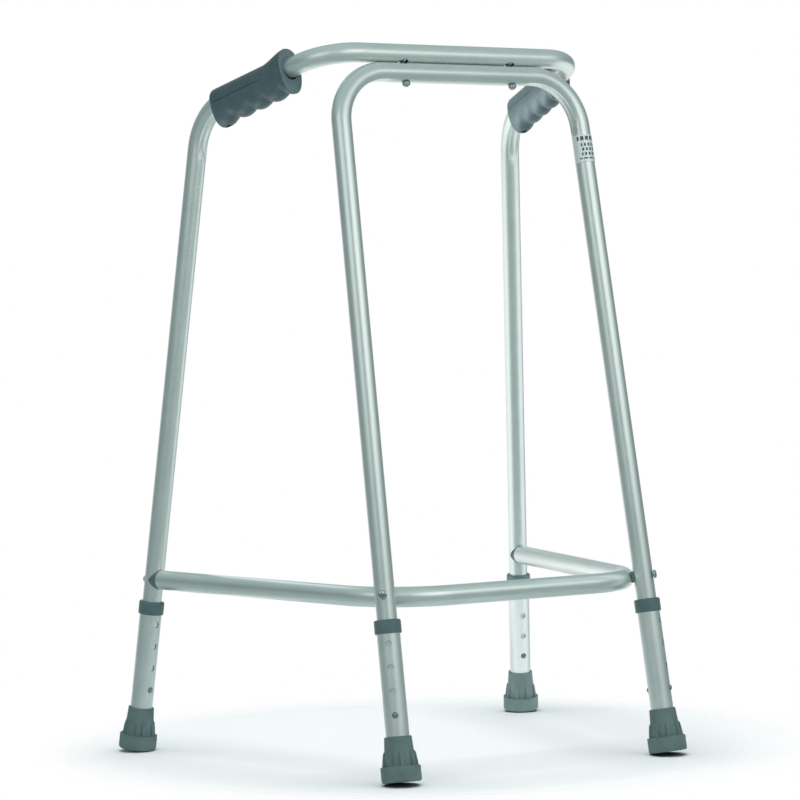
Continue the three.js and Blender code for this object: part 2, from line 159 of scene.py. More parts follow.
def skin(rings, closed=False):
    """Faces between rings of points. A ring of one point is a pole, and closed joins last to first."""
    points = [p for ring in rings for p in ring]
    starts = np.cumsum([0] + [len(ring) for ring in rings])
    faces = []
    pairs = list(range(len(rings) - 1)) + ([-1] if closed else [])
    for i in pairs:
        low, high = rings[i], rings[i + 1]
        a, b = int(starts[i % len(rings)]), int(starts[i + 1])
        sides = max(len(low), len(high))
        for k in range(sides):
            n = (k + 1) % sides
            if len(low) == 1:
                faces.append((a, b + n, b + k))
            elif len(high) == 1:
                faces.append((a + k, a + n, b))
            else:
                faces.append((a + k, a + n, b + n, b + k))
    return points, faces


def turned(profile, sides=64, closed=False):
    """A solid turned about Z from (radius, height) pairs that go up its outside."""
    rings = []
    for radius, height in profile:
        if radius < 1e-6:
            rings.append([Vector((0, 0, height))])
            continue
        angles = (2 * math.pi * k / sides for k in range(sides))
        rings.append([Vector((radius * math.cos(a), radius * math.sin(a), height)) for a in angles])
    return skin(rings, closed)


def rounded(corners, closed=False, steps=4):
    """Rounds an outline of (x, y) or (x, y, radius) corners."""
    out = []
    count = len(corners)
    for i, corner in enumerate(corners):
        here = Vector(corner[:2])
        radius = corner[2] if len(corner) > 2 else 0
        if radius == 0 or (not closed and i in (0, count - 1)):
            out.append(tuple(here))
            continue
        into = (here - Vector(corners[i - 1][:2])).normalized()
        away = (Vector(corners[(i + 1) % count][:2]) - here).normalized()
        turn = into.angle_signed(away)
        reach = radius * math.tan(abs(turn) / 2)
        start = here - into * reach
        normal = Vector((into.y, -into.x)) * math.copysign(1, turn)
        centre = start + normal * radius
        for k in range(steps + 1):
            spoke = -normal
            spoke.rotate(Matrix.Rotation(-turn * k / steps, 2))
            out.append(tuple(centre + spoke * radius))
    return out


def rod(radius, start, end, placement, sides=48, height=0.0):
    """A plain cylinder along the placement's X, raised by height."""
    shape = turned([(0, start), (radius, start), (radius, end), (0, end)], sides)
    return moved(shape, placement @ Matrix.Translation((0, 0, height)) @ TO_X)


def tapered_bar(start, end, half_y, half_z, taper):
    """A block along X. At its start the half sizes are taper times those at its end."""
    rings = []
    for x, scale in ((start, taper), (end, 1.0)):
        y, z = half_y * scale, half_z * scale
        rings.append([Vector((x, y, z)), Vector((x, -y, z)), Vector((x, -y, -z)), Vector((x, y, -z))])
    points, faces = skin(rings)
    return points, faces + [(0, 1, 2, 3), (7, 6, 5, 4)]


def moved(shape, matrix):
    points, faces = shape
    return [matrix @ p for p in points], faces


def merged(shapes):
    points, faces = [], []
    for more_points, more_faces in shapes:
        start = len(points)
        points.extend(more_points)
        faces.extend(tuple(i + start for i in face) for face in more_faces)
    return points, faces


def make_object(name, shape):
    points, faces = shape
    mesh = bpy.data.meshes.new(name)
    mesh.from_pydata([p * MM for p in points], [], faces)
    work = bmesh.new()
    work.from_mesh(mesh)
    bmesh.ops.recalc_face_normals(work, faces=work.faces)
    work.to_mesh(mesh)
    work.free()
    made = bpy.data.objects.new(name, mesh)
    bpy.context.scene.collection.objects.link(made)
    return made


def put(piece, placement):
    """Moves a finished mesh, made about the origin, to its place."""
    piece.data.transform(Matrix.Translation(placement.translation * MM) @ placement.to_3x3().to_4x4())


def apply_modifiers(piece):
    bpy.context.view_layer.update()
    graph = bpy.context.evaluated_depsgraph_get()
    mesh = bpy.data.meshes.new_from_object(piece.evaluated_get(graph))
    piece.modifiers.clear()
    piece.data = mesh


def combine(piece, shape, operation):
    """Cuts the shape out of the piece, or joins it on."""
    tool = make_object("tool", shape)
    modifier = piece.modifiers.new("combine", "BOOLEAN")
    modifier.operation = operation
    modifier.solver = "EXACT"
    modifier.object = tool
    apply_modifiers(piece)
    bpy.data.objects.remove(tool)


def bevel(piece, width):
    modifier = piece.modifiers.new("bevel", "BEVEL")
    modifier.width = width * MM
    modifier.segments = 2
    modifier.limit_method = "ANGLE"
    modifier.angle_limit = math.radians(30)
    apply_modifiers(piece)


BODY_OF = {}
for body_name, members in frame["record"]["behaviour"]["bodies"].items():
    for member in members:
        BODY_OF[member] = body_name


def add_piece(piece, node, material, sharp=35):
    """Finishes a piece that stands for a CAD node and moves with its body."""
    mesh = piece.data
    piece.name = f"{node}_detailed"
    mesh.name = piece.name
    mesh.polygons.foreach_set("use_smooth", [True] * len(mesh.polygons))
    mesh.set_sharp_from_angle(angle=math.radians(sharp))
    mesh.materials.clear()
    mesh.materials.append(material)
    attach(piece, BODY_OF[node])
    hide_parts(node)


# ---- Materials ----

class Graph:
    """A node tree, with short ways to add its nodes."""

    def __init__(self, tree):
        self.nodes = tree.nodes
        self.links = tree.links

    def add(self, kind, **settings):
        node = self.nodes.new(kind)
        for name, value in settings.items():
            setattr(node, name, value)
        return node

    def object_point(self):
        return self.add("ShaderNodeTexCoord").outputs["Object"]

    def noise(self, where, scale, detail=3.0, roughness=0.5):
        node = self.add("ShaderNodeTexNoise")
        node.inputs["Scale"].default_value = scale
        node.inputs["Detail"].default_value = detail
        node.inputs["Roughness"].default_value = roughness
        self.links.new(where, node.inputs["Vector"])
        return node.outputs["Fac"]

    def spread(self, value, low, high, start=0.3, end=0.7, shape="LINEAR"):
        """Maps a value from start..end to low..high."""
        node = self.add("ShaderNodeMapRange", interpolation_type=shape)
        for name, number in (("From Min", start), ("From Max", end), ("To Min", low), ("To Max", high)):
            node.inputs[name].default_value = number
        self.links.new(value, node.inputs["Value"])
        return node.outputs["Result"]

    def tint(self, value, dark, light):
        """A colour between two, by a value from 0 to 1."""
        node = self.add("ShaderNodeValToRGB")
        node.color_ramp.elements[0].color = (*dark, 1)
        node.color_ramp.elements[1].color = (*light, 1)
        self.links.new(value, node.inputs["Fac"])
        return node.outputs["Color"]

    def bump(self, height, distance, strength=1.0, before=None):
        node = self.add("ShaderNodeBump")
        node.inputs["Distance"].default_value = distance
        node.inputs["Strength"].default_value = strength
        self.links.new(height, node.inputs["Height"])
        if before is not None:
            self.links.new(before, node.inputs["Normal"])
        return node.outputs["Normal"]

    def math(self, operation, first, second):
        node = self.add("ShaderNodeMath", operation=operation)
        for socket, value in zip(node.inputs, (first, second)):
            if isinstance(value, float):
                socket.default_value = value
            else:
                self.links.new(value, socket)
        return node.outputs[0]

    def distance_to(self, place):
        """Metres from a place, in the object's own space."""
        node = self.add("ShaderNodeVectorMath", operation="DISTANCE")
        self.links.new(self.object_point(), node.inputs[0])
        node.inputs[1].default_value = place
        return node.outputs["Value"]

    def mix_shader(self, share, first, second):
        node = self.add("ShaderNodeMixShader")
        self.links.new(share, node.inputs["Fac"])
        self.links.new(first.outputs[0], node.inputs[1])
        self.links.new(second.outputs[0], node.inputs[2])
        return node


class Recipe(Graph):
    """A new material and its graph."""

    def __init__(self, name, color, metallic, roughness):
        self.material = bpy.data.materials.new(name)
        self.material.use_nodes = True
        super().__init__(self.material.node_tree)
        self.shader = self.nodes["Principled BSDF"]
        self.shader.inputs["Base Color"].default_value = (*color, 1)
        self.shader.inputs["Metallic"].default_value = metallic
        self.shader.inputs["Roughness"].default_value = roughness

    def set(self, name, value):
        self.links.new(value, self.shader.inputs[name])


def scaled(color, factor):
    return tuple(min(1.0, c * factor) for c in color)


def drawn_aluminium(name, color, roughness):
    """Satin anodised tube: a fine grain drawn out along the tube, and faint cloudy wear."""
    recipe = Recipe(name, color, 1.0, roughness)
    grain = recipe.add("ShaderNodeAttribute", attribute_name="grain").outputs["Vector"]
    streaks = recipe.noise(grain, 1400, 4)
    clouds = recipe.noise(recipe.object_point(), 38)
    pits = recipe.noise(recipe.object_point(), 2600, 2)
    wear = recipe.math("ADD", recipe.spread(streaks, 0.0, 0.6), recipe.spread(clouds, 0.0, 0.4))
    recipe.set("Base Color", recipe.tint(wear, scaled(color, 0.93), scaled(color, 1.05)))
    recipe.set("Roughness", recipe.spread(wear, roughness - 0.03, roughness + 0.04, 0, 1))
    pitted = recipe.bump(pits, 0.02 * MM, 0.35)
    recipe.set("Normal", recipe.bump(streaks, 0.02 * MM, 0.15, pitted))
    return recipe.material


def moulded(name, color, roughness, pebble, depth):
    """Moulded rubber, vinyl or plastic: a fine matt pebble of that scale and depth, faintly cloudy."""
    recipe = Recipe(name, color, 0.0, roughness)
    where = recipe.object_point()
    clouds = recipe.noise(where, 60, 4)
    grains = recipe.noise(where, pebble, 3, 0.6)
    cloudy = recipe.spread(clouds, 0, 1)
    recipe.set("Base Color", recipe.tint(cloudy, scaled(color, 0.86), scaled(color, 1.14)))
    recipe.set("Roughness", recipe.spread(grains, roughness - 0.08, roughness + 0.1))
    recipe.set("Normal", recipe.bump(grains, depth * MM, 0.5))
    return recipe.material


def plated(name, color, roughness):
    """Plated or bare steel: small changes of roughness, and light tool marks."""
    recipe = Recipe(name, color, 1.0, roughness)
    where = recipe.object_point()
    marks = recipe.noise(where, 900, 4, 0.6)
    marked = recipe.spread(marks, 0, 1)
    recipe.set("Base Color", recipe.tint(marked, scaled(color, 0.82), scaled(color, 1.08)))
    recipe.set("Roughness", recipe.spread(marks, roughness - 0.06, roughness + 0.12))
    recipe.set("Normal", recipe.bump(marks, 0.07 * MM, 0.5))
    return recipe.material


FRAME_TUBE = drawn_aluminium("frame_tube", (0.78, 0.83, 0.80), 0.39)
LEG_TUBE = drawn_aluminium("leg_tube", (0.82, 0.86, 0.84), 0.42)
ZINC = plated("zinc", (0.44, 0.52, 0.53), 0.09)
SPRING_STEEL = plated("spring_steel", (0.30, 0.36, 0.36), 0.34)
RUBBER = moulded("ferrule_rubber", (0.165, 0.232, 0.230), 0.62, 1500, 0.08)
VINYL = moulded("grip_vinyl", (0.086, 0.130, 0.144), 0.38, 1900, 0.06)
DARK_PLASTIC = moulded("dark_plastic", (0.132, 0.200, 0.210), 0.42, 2200, 0.03)


# ---- Tubes ----

TUBE_SIDES = 96
RUN_STEP = 5.0
BEND_STEP = math.radians(2.5)
GROOVE_HALF_ANGLE = math.radians(36)
DIMPLE_HALF_ANGLE = math.radians(34)
DIMPLE_LENGTH = 5.0
DIMPLE_OFFSET = 2
GROOVE_RUN_OUT = 8
GROOVE_RUN_IN = 10


class BentPath:
    """Straight runs joined by round bends, with the side of each bend that faces its centre."""

    def __init__(self, corners, radii):
        self.points = [corners[0]]
        self.tangents = [(corners[1] - corners[0]).normalized()]
        self.inward = [None]
        self.bends = []
        for i in range(1, len(corners) - 1):
            self.add_bend(corners[i - 1], corners[i], corners[i + 1], radii[i - 1])
        self.add_run(corners[-1], self.tangents[-1])
        steps = [(b - a).length for a, b in zip(self.points, self.points[1:])]
        self.distances = [0.0, *np.cumsum(steps)]
        self.bends = [(self.distances[a], self.distances[b], first, last) for a, b, first, last in self.bends]
        self.add_frames()

    def add_run(self, end, tangent):
        start = self.points[-1]
        count = max(1, math.ceil((end - start).length / RUN_STEP))
        for k in range(1, count + 1):
            self.points.append(start.lerp(end, k / count))
            self.tangents.append(tangent.copy())
            self.inward.append(None)

    def add_bend(self, before, corner, after, radius):
        into = (corner - before).normalized()
        out = (after - corner).normalized()
        turn = into.angle(out)
        axis = into.cross(out).normalized()
        start = corner - into * radius * math.tan(turn / 2)
        to_centre = axis.cross(into).normalized()
        centre = start + to_centre * radius
        self.add_run(start, into)
        first = len(self.points) - 1
        slices = math.ceil(turn / BEND_STEP)
        for k in range(1, slices + 1):
            spin = Matrix.Rotation(turn * k / slices, 3, axis)
            self.points.append(centre - spin @ to_centre * radius)
            self.tangents.append(spin @ into)
            self.inward.append(spin @ to_centre)
        self.inward[first] = to_centre
        self.bends.append((first, len(self.points) - 1, to_centre, self.inward[-1]))

    def add_frames(self):
        """Carries one side vector along the path without twisting it."""
        side = self.tangents[0].orthogonal().normalized()
        self.sides = []
        for tangent in self.tangents:
            side = (side - tangent * side.dot(tangent)).normalized()
            self.sides.append(side)

    def dents(self, i):
        """Each nearby bend's (inner side, groove depth share, end dimple share) at a point of the path."""
        here = self.distances[i]
        found = []
        for start, end, first, last in self.bends:
            inner = self.inward[i] if start <= here <= end and self.inward[i] else None
            if inner is None:
                inner = first if here < start else last
            rise = ramp(here, start - GROOVE_RUN_OUT, start + GROOVE_RUN_IN)
            fall = ramp(here, end - GROOVE_RUN_IN, end + GROOVE_RUN_OUT)
            groove = rise * (1 - fall)
            nearest = min(abs(here - start + DIMPLE_OFFSET), abs(here - end - DIMPLE_OFFSET))
            dimple = math.exp(-((nearest / DIMPLE_LENGTH) ** 2))
            if groove > 1e-3 or dimple > 1e-3:
                found.append((inner, groove, dimple))
        return found

    def rings(self, radius, groove_depth, dimple_depth):
        rings = []
        for i, (centre, tangent, side) in enumerate(zip(self.points, self.tangents, self.sides)):
            other = tangent.cross(side)
            dents = self.dents(i)
            ring = []
            for k in range(TUBE_SIDES):
                angle = 2 * math.pi * k / TUBE_SIDES
                spoke = side * math.cos(angle) + other * math.sin(angle)
                reach = radius
                for inner, groove, dimple in dents:
                    away = spoke.angle(inner)
                    reach -= groove * groove_depth * hollow(away, GROOVE_HALF_ANGLE)
                    reach -= dimple * dimple_depth * hollow(away, DIMPLE_HALF_ANGLE)
                ring.append(centre + spoke * reach)
            rings.append(ring)
        return rings


def hollow(away, half_angle):
    """How deep a crushed hollow is: 1 over its flat middle, then up to 0 at a firm shoulder."""
    if away >= half_angle:
        return 0.0
    share = away / half_angle
    return 1 - share**4


def store_grain(piece, centres, sides, tangents, distances):
    """Stores each vertex's place across and along its tube, with the length shortened to draw grain out."""
    shortening = 70
    batches = 40
    mesh = piece.data
    where = np.empty(len(mesh.vertices) * 3)
    mesh.vertices.foreach_get("co", where)
    where = where.reshape(-1, 3) / MM
    centres, sides, tangents = (np.array(rows) for rows in (centres, sides, tangents))
    squares = (centres**2).sum(1)
    nearest = np.concatenate([
        np.argmin(squares - 2 * part @ centres.T, axis=1) for part in np.array_split(where, batches)
    ])
    offset = where - centres[nearest]
    side, tangent = sides[nearest], tangents[nearest]
    other = np.cross(tangent, side)
    along = np.array(distances)[nearest] + (offset * tangent).sum(1)
    grain = np.stack([(offset * side).sum(1), (offset * other).sum(1), along / shortening], axis=1)
    grain *= MM
    attribute = mesh.attributes.new("grain", "FLOAT_VECTOR", "POINT")
    attribute.data.foreach_set("vector", grain.astype(np.float32).ravel())


# ---- Where things stand ----

FRONT_RIGHT = Leg("front_right", -1, FRONT_FOOT, FRONT_CORNER, FRONT_BUTTON_TURN, -11.5)
REAR_RIGHT = Leg("rear_right", -1, REAR_FOOT, RAIL_REAR_CORNER, REAR_BUTTON_TURN, 0)
FRONT_LEFT = Leg("front_left", 1, FRONT_FOOT, FRONT_CORNER, FRONT_BUTTON_TURN, 7)
REAR_LEFT = Leg("rear_left", 1, REAR_FOOT, RAIL_REAR_CORNER, REAR_BUTTON_TURN, -15)
LEGS = [FRONT_RIGHT, REAR_RIGHT, FRONT_LEFT, REAR_LEFT]

BRACE_REAR_POINTS = [leg.at_level(BRACE_REAR_HEIGHT) for leg in (REAR_RIGHT, REAR_LEFT)]
BRACE_CORNERS = [point(BRACE_CORNER, -1), point(BRACE_CORNER, 1)]
BRACE_RUNS = [(end - corner).normalized() for end, corner in zip(BRACE_REAR_POINTS, BRACE_CORNERS)]
BRACE_ENDS = [end - run * BRACE_END_CLEARANCE for end, run in zip(BRACE_REAR_POINTS, BRACE_RUNS)]
BRACE_PATH = BentPath([BRACE_ENDS[0], *BRACE_CORNERS, BRACE_ENDS[1]], [BRACE_BEND, BRACE_BEND])

RAIL_PATH = BentPath([
    REAR_RIGHT.at(FRAME_TUBE_END), point(RAIL_REAR_CORNER, -1), point(RAIL_FRONT_CORNER, -1),
    point(RAIL_FRONT_CORNER), point(RAIL_REAR_CORNER), REAR_LEFT.at(FRAME_TUBE_END),
], [RAIL_REAR_BEND, RAIL_FRONT_BEND, RAIL_FRONT_BEND, RAIL_REAR_BEND])
FRONT_PATH = BentPath([
    FRONT_RIGHT.at(FRAME_TUBE_END), point(FRONT_CORNER, -1),
    point(FRONT_CORNER), FRONT_LEFT.at(FRAME_TUBE_END),
], [FRONT_BEND, FRONT_BEND])


class FrontJoint:
    """Where the brace's bend is screwed to a front leg. +X runs out through the leg, square to it."""

    def __init__(self, leg, run, corner):
        sideways = Vector((-leg.side, 0, 0))
        half_angle = sideways.angle(run) / 2
        bend_centre = corner + (sideways + run).normalized() * (BRACE_BEND / math.sin(half_angle))
        spoke = leg.at_level(BRACE_CORNER[2]) - bend_centre
        spoke.z = 0
        spoke.normalize()
        self.leg = leg
        self.brace_point = bend_centre + spoke * BRACE_BEND
        self.tangent = spoke.cross(UP)
        self.origin = leg.nearest(self.brace_point)
        outward = self.origin - self.brace_point
        self.spacing = outward.length
        self.placement = place_at(self.origin, outward, leg.direction)


FRONT_JOINTS = [
    FrontJoint(leg, run, corner)
    for leg, run, corner in zip((FRONT_RIGHT, FRONT_LEFT), BRACE_RUNS, BRACE_CORNERS)
]
REAR_JOINTS = [
    (leg, origin, place_at(origin, run, leg.direction))
    for leg, origin, run in zip((REAR_RIGHT, REAR_LEFT), BRACE_REAR_POINTS, BRACE_RUNS)
]
BAR_TO_RAIL = Vector((0, RAIL_FRONT_CORNER[1] - FRONT_CORNER[1], RAIL_FRONT_CORNER[2] - FRONT_CORNER[2]))
BAR_SPACING = BAR_TO_RAIL.length
TOP_JOINTS = [
    (hand, place_at(Vector((side * TOP_SCREW_OFFSET, *FRONT_CORNER[1:])), BAR_TO_RAIL, Vector((0, -1, 0))))
    for hand, side in (("right", -1), ("left", 1))
]


def button_holes(legs):
    return [rod(HOLE_RADIUS, -DRILL_REACH, DRILL_REACH, leg.placement, height=BUTTON_HEIGHT) for leg in legs]


def screw_holes(placements, reach, middle=0):
    return [rod(SCREW_HOLE_RADIUS, middle - reach, middle + reach, placement) for placement in placements]


# ---- The three bent tubes ----

def make_tube(node, path, groove_depth, dimple_depth, cuts):
    """A bent tube with its bends dented and its holes cut. The inside has every second ring."""
    outside = path.rings(TUBE_RADIUS, groove_depth, dimple_depth)
    inside = path.rings(TUBE_RADIUS - TUBE_WALL, groove_depth, dimple_depth)
    every_other = inside[:1] + inside[2:-1:2] + inside[-1:]
    piece = make_object("tube", skin(outside + every_other[::-1], closed=True))
    combine(piece, merged(cuts), "DIFFERENCE")
    store_grain(piece, path.points, path.sides, path.tangents, path.distances)
    add_piece(piece, node, FRAME_TUBE)


def make_tubes():
    recess_radius, recess_start, recess_end = 7, BAR_SPACING - 13, BAR_SPACING - 3
    rear_places = [placement for _, _, placement in REAR_JOINTS]
    front_places = [joint.placement for joint in FRONT_JOINTS]
    top_places = [placement for _, placement in TOP_JOINTS]

    cuts = button_holes((REAR_RIGHT, REAR_LEFT)) + screw_holes(rear_places, DRILL_REACH)
    cuts += [rod(recess_radius, recess_start, recess_end, placement) for placement in top_places]
    make_tube("hand_rail_tube", RAIL_PATH, 2.0, 1.2, cuts)

    cuts = button_holes((FRONT_RIGHT, FRONT_LEFT)) + screw_holes(front_places, DRILL_REACH)
    cuts += screw_holes(top_places, BAR_DRILL_REACH)
    make_tube("front_frame_tube", FRONT_PATH, 2.0, 1.6, cuts)

    cuts = []
    for joint in FRONT_JOINTS:
        cuts += screw_holes([joint.placement], BRACE_DRILL_REACH, -joint.spacing)
    make_tube("lower_brace_tube", BRACE_PATH, 0.3, 0.0, cuts)


# ---- Legs ----

def make_extension(leg):
    """The sliding sleeve, with fine rings where its holes are so that their rims are clean."""
    bottom = FERRULE_FLOOR + WASHER_THICKNESS + 2 * GAP
    inner = SLEEVE_RADIUS - SLEEVE_WALL
    outline = rounded([
        (inner, bottom), (SLEEVE_RADIUS, bottom, 0.3), (SLEEVE_RADIUS, SLEEVE_TOP, 0.3), (inner, SLEEVE_TOP),
    ])
    middle = len(outline) // 2
    fine_rings = [(SLEEVE_RADIUS, z) for z in np.arange(bottom + 3, SLEEVE_TOP - 2, 1.5)]
    profile = outline[:middle] + fine_rings + outline[middle:]
    sleeve = make_object("sleeve", moved(turned(profile, 72, closed=True), leg.placement))
    holes = [
        rod(HOLE_RADIUS, -DRILL_REACH, DRILL_REACH, leg.placement, height=BUTTON_HEIGHT + i * HOLE_PITCH)
        for i in range(HOLE_COUNT)
    ]
    combine(sleeve, merged(holes), "DIFFERENCE")
    heights = np.arange(0, SLEEVE_TOP, 10.0)
    side = leg.placement.col[0].to_3d()
    count = len(heights)
    store_grain(sleeve, [leg.at(h) for h in heights], [side] * count, [leg.direction] * count, heights)
    add_piece(sleeve, f"{leg.name}_leg_extension", LEG_TUBE)


def make_collar(leg):
    outer = 14.6
    lip = TUBE_RADIUS + GAP
    bore = SLEEVE_RADIUS + GAP
    shoulder = SLEEVE_TOP + GAP
    profile = rounded([
        (bore, COLLAR_BOTTOM, 0.4), (outer, COLLAR_BOTTOM, 1.2), (outer, COLLAR_TOP, 1.9),
        (lip, COLLAR_TOP, 0.4), (lip, shoulder, 0.2), (bore, shoulder, 0.2),
    ], closed=True)
    collar = make_object("collar", moved(turned(profile, 72, closed=True), leg.placement))
    add_piece(collar, f"{leg.name}_collar", DARK_PLASTIC)


def gusset(turn):
    """A fin that stands on the ferrule's ring and dies into its cone."""
    root, half, soft, splay = 13.8, 2.2, 0.5, 0.3
    # Heights above the ring, and how far out the fin reaches there
    stations = [(-2, 19.5), (1, 19.4), (8, 18.5), (13.5, 17.6), (15.2, 16.9), (16.6, 15.0)]
    rings = []
    for height, reach in stations:
        z = FERRULE_RING_TOP + height
        rings.append([
            Vector((root, -half - splay, z)), Vector((reach - soft, -half, z)),
            Vector((reach, -half + soft, z)), Vector((reach, half - soft, z)),
            Vector((reach - soft, half, z)), Vector((root, half + splay, z)),
        ])
    points, faces = skin(rings)
    count = len(points)
    faces += [tuple(range(6)), tuple(range(count - 1, count - 7, -1))]
    return moved((points, faces), Matrix.Rotation(turn, 4, "Z"))


def make_ferrule(leg):
    bore = SLEEVE_RADIUS + GAP
    ring_radius = 21.6
    profile = rounded([
        (0, 1.2), (7, 1.2, 0.3), (7, 0, 0.3), (11, 0, 0.3), (11, 1.2, 0.3), (14, 1.2, 0.3), (14, 0, 0.3),
        (SOLE_RADIUS, 0, 0.4), (ring_radius, 1.6, 1.0), (ring_radius, FERRULE_RING_TOP, 0.6),
        (17.0, FERRULE_RING_TOP, 0.6), (14.7, FERRULE_HEIGHT, 0.5), (bore, FERRULE_HEIGHT, 0.3),
        (bore, FERRULE_FLOOR, 0.5), (0, FERRULE_FLOOR),
    ])
    body = make_object("ferrule", turned(profile, 96))
    fins = [gusset((i + 0.5) * 2 * math.pi / GUSSET_COUNT + leg.ferrule_turn) for i in range(GUSSET_COUNT)]
    combine(body, merged(fins), "UNION")
    put(body, leg.placement)
    add_piece(body, f"{leg.name}_ferrule", RUBBER, sharp=28)


def make_button(leg, which, side):
    base = 8.5
    profile = rounded([
        (0, base), (BUTTON_RADIUS, base, 0.2), (BUTTON_RADIUS, BUTTON_REACH, 2.2), (0, BUTTON_REACH),
    ], steps=8)
    facing = Matrix.Rotation(0 if side > 0 else math.pi, 4, "Z")
    placement = leg.placement @ Matrix.Translation((0, 0, BUTTON_HEIGHT)) @ facing @ TO_X
    button = make_object("button", moved(turned(profile, 32), placement))
    add_piece(button, f"{leg.name}_{which}_button", SPRING_STEEL, sharp=50)


# ---- Fasteners ----

def cut_cross(screw, face, outward, spin):
    """Cuts a cross recess into a screw head. Its face looks along X if outward is 1, against X if -1."""
    depth, half_length, half_width, taper = 1.9, 3.1, 0.75, 0.55
    for quarter in (0, math.pi / 2):
        slot = tapered_bar(face - outward * depth, face + outward, half_length, half_width, taper)
        combine(screw, moved(slot, Matrix.Rotation(spin + quarter, 4, "X")), "DIFFERENCE")


def make_screw(node, placement, head_face, tip, spin):
    """A pan-head screw with a cross recess, running from its tip out along +X to its head."""
    top = head_face + 2.9
    profile = rounded([
        (0, tip), (SCREW_RADIUS, tip, 0.5), (SCREW_RADIUS, head_face), (SCREW_HEAD_RADIUS, head_face, 0.3),
        (SCREW_HEAD_RADIUS, head_face + 2.6, 1.9), (0, top),
    ], steps=6)
    screw = make_object("screw", moved(turned(profile, 40), TO_X))
    cut_cross(screw, top, 1, spin)
    put(screw, placement)
    add_piece(screw, node, ZINC, sharp=40)


def make_nut(node, placement, start, end):
    hexagon = turned([(3.1, start), (4.6, start), (4.6, end), (3.1, end)], 6, closed=True)
    nut = make_object("nut", moved(hexagon, placement @ TO_X))
    bevel(nut, 0.35)
    add_piece(nut, node, ZINC, sharp=20)


def make_brace_screw(leg, placement, nut_face, spin):
    """The screw through a leg and the brace, and the nut on its inner end."""
    nut_end = nut_face - NUT_THICKNESS
    make_screw(f"{leg.name}_brace_screw", placement, HEAD_FACE, nut_end - 1, spin)
    make_nut(f"{leg.name}_brace_nut", placement, nut_end, nut_face)


def saddle_cutter(origin, direction):
    any_up = Vector((1, 0, 0)) if abs(direction.z) > 0.5 else UP
    return rod(TUBE_RADIUS + GAP, -30, 30, place_at(origin, direction, any_up), sides=96)


def make_rear_joint(leg, origin, placement, spin):
    flange_end = -BRACE_END_CLEARANCE + GAP
    spigot_end = -30
    spigot_radius = TUBE_RADIUS - TUBE_WALL - 0.5
    profile = rounded([
        (0, spigot_end), (spigot_radius, spigot_end, 0.8), (spigot_radius, flange_end),
        (TUBE_RADIUS, flange_end, 0.4), (TUBE_RADIUS, 0), (0, 0),
    ])
    plug = make_object("plug", moved(turned(profile, 96), placement @ TO_X))
    combine(plug, rod(SCREW_HOLE_RADIUS, spigot_end - 2, 2, placement), "DIFFERENCE")
    combine(plug, saddle_cutter(origin, leg.direction), "DIFFERENCE")
    add_piece(plug, f"{leg.name}_brace_plug", DARK_PLASTIC)
    make_brace_screw(leg, placement, spigot_end - GAP, spin)


def make_front_joint(joint, spin):
    spacer_radius, reach = 6.4, 3.5
    middle = -joint.spacing / 2
    spacer = make_object("spacer", rod(spacer_radius, middle - reach, middle + reach, joint.placement, 72))
    combine(spacer, rod(SCREW_HOLE_RADIUS, -joint.spacing, 0, joint.placement), "DIFFERENCE")
    combine(spacer, saddle_cutter(joint.origin, joint.leg.direction), "DIFFERENCE")
    combine(spacer, saddle_cutter(joint.brace_point, joint.tangent), "DIFFERENCE")
    add_piece(spacer, f"{joint.leg.name}_brace_spacer", DARK_PLASTIC)
    bend_clearance = 0.8
    nut_face = -joint.spacing - TUBE_RADIUS - GAP - bend_clearance
    make_brace_screw(joint.leg, joint.placement, nut_face, spin)


def make_top_joint(hand, placement):
    """A domed screw up through the front bar into a threaded insert in the rail's recess."""
    insert_bottom = BAR_SPACING - TUBE_RADIUS + 2.6
    insert_top = BAR_SPACING + 3
    head_top = -TUBE_RADIUS - GAP
    head_size = 4.6
    bottom = head_top - head_size
    profile = rounded([
        (0, bottom), (head_size, bottom, 2.6), (head_size, head_top, 0.2), (SCREW_RADIUS, head_top),
        (SCREW_RADIUS, insert_top + 2, 0.4), (0, insert_top + 2),
    ], steps=6)
    screw = make_object("screw", moved(turned(profile, 40), TO_X))
    cut_cross(screw, bottom, -1, 0)
    put(screw, placement)
    add_piece(screw, f"{hand}_top_screw", ZINC, sharp=40)
    ring = rounded([
        (SCREW_HOLE_RADIUS, insert_bottom, 0.3), (5.6, insert_bottom, 0.5), (5.6, insert_top, 0.5),
        (SCREW_HOLE_RADIUS, insert_top, 0.3),
    ], closed=True)
    insert = make_object("insert", moved(turned(ring, 40, closed=True), placement @ TO_X))
    add_piece(insert, f"{hand}_top_insert", ZINC)


# ---- Handgrips ----

GRIP_HALF_WIDTH = 16
GRIP_DROP = 29.5
GROOVE_PITCH = 28
FIRST_GROOVE = 29
GROOVE_DEPTH = 4.2
GRIP_ROUNDNESS = 2.25
GRIP_FLARE = 7.5
FLARE_LENGTH = 36
REAR_ROUNDING = 4.5
FRONT_ROUNDING = 0.8
FINGER_SQUEEZE = 2.0
PARTING_DROP = 2.0
PARTING_DEPTH = 1.0
PARTING_HALF_ANGLE = 0.014
GRIP_SIDES = 96


def groove_share(along):
    """1 in the bottom of a finger groove, 0 on a ridge. Each ridge rises soon and falls away slowly."""
    if along < FIRST_GROOVE:
        return ramp(along, 12, FIRST_GROOVE)
    phase = ((along - FIRST_GROOVE) / GROOVE_PITCH) % 1.0
    return 1 - math.sin(math.pi * phase**0.85)


def grip_top(along):
    return 15.5 + GRIP_FLARE * ramp(along, GRIP_LENGTH - FLARE_LENGTH, GRIP_LENGTH)


def grip_bottom(along):
    rear_bulge = 1.5 * (1 - ramp(along, 10, FIRST_GROOVE))
    return GRIP_DROP + rear_bulge


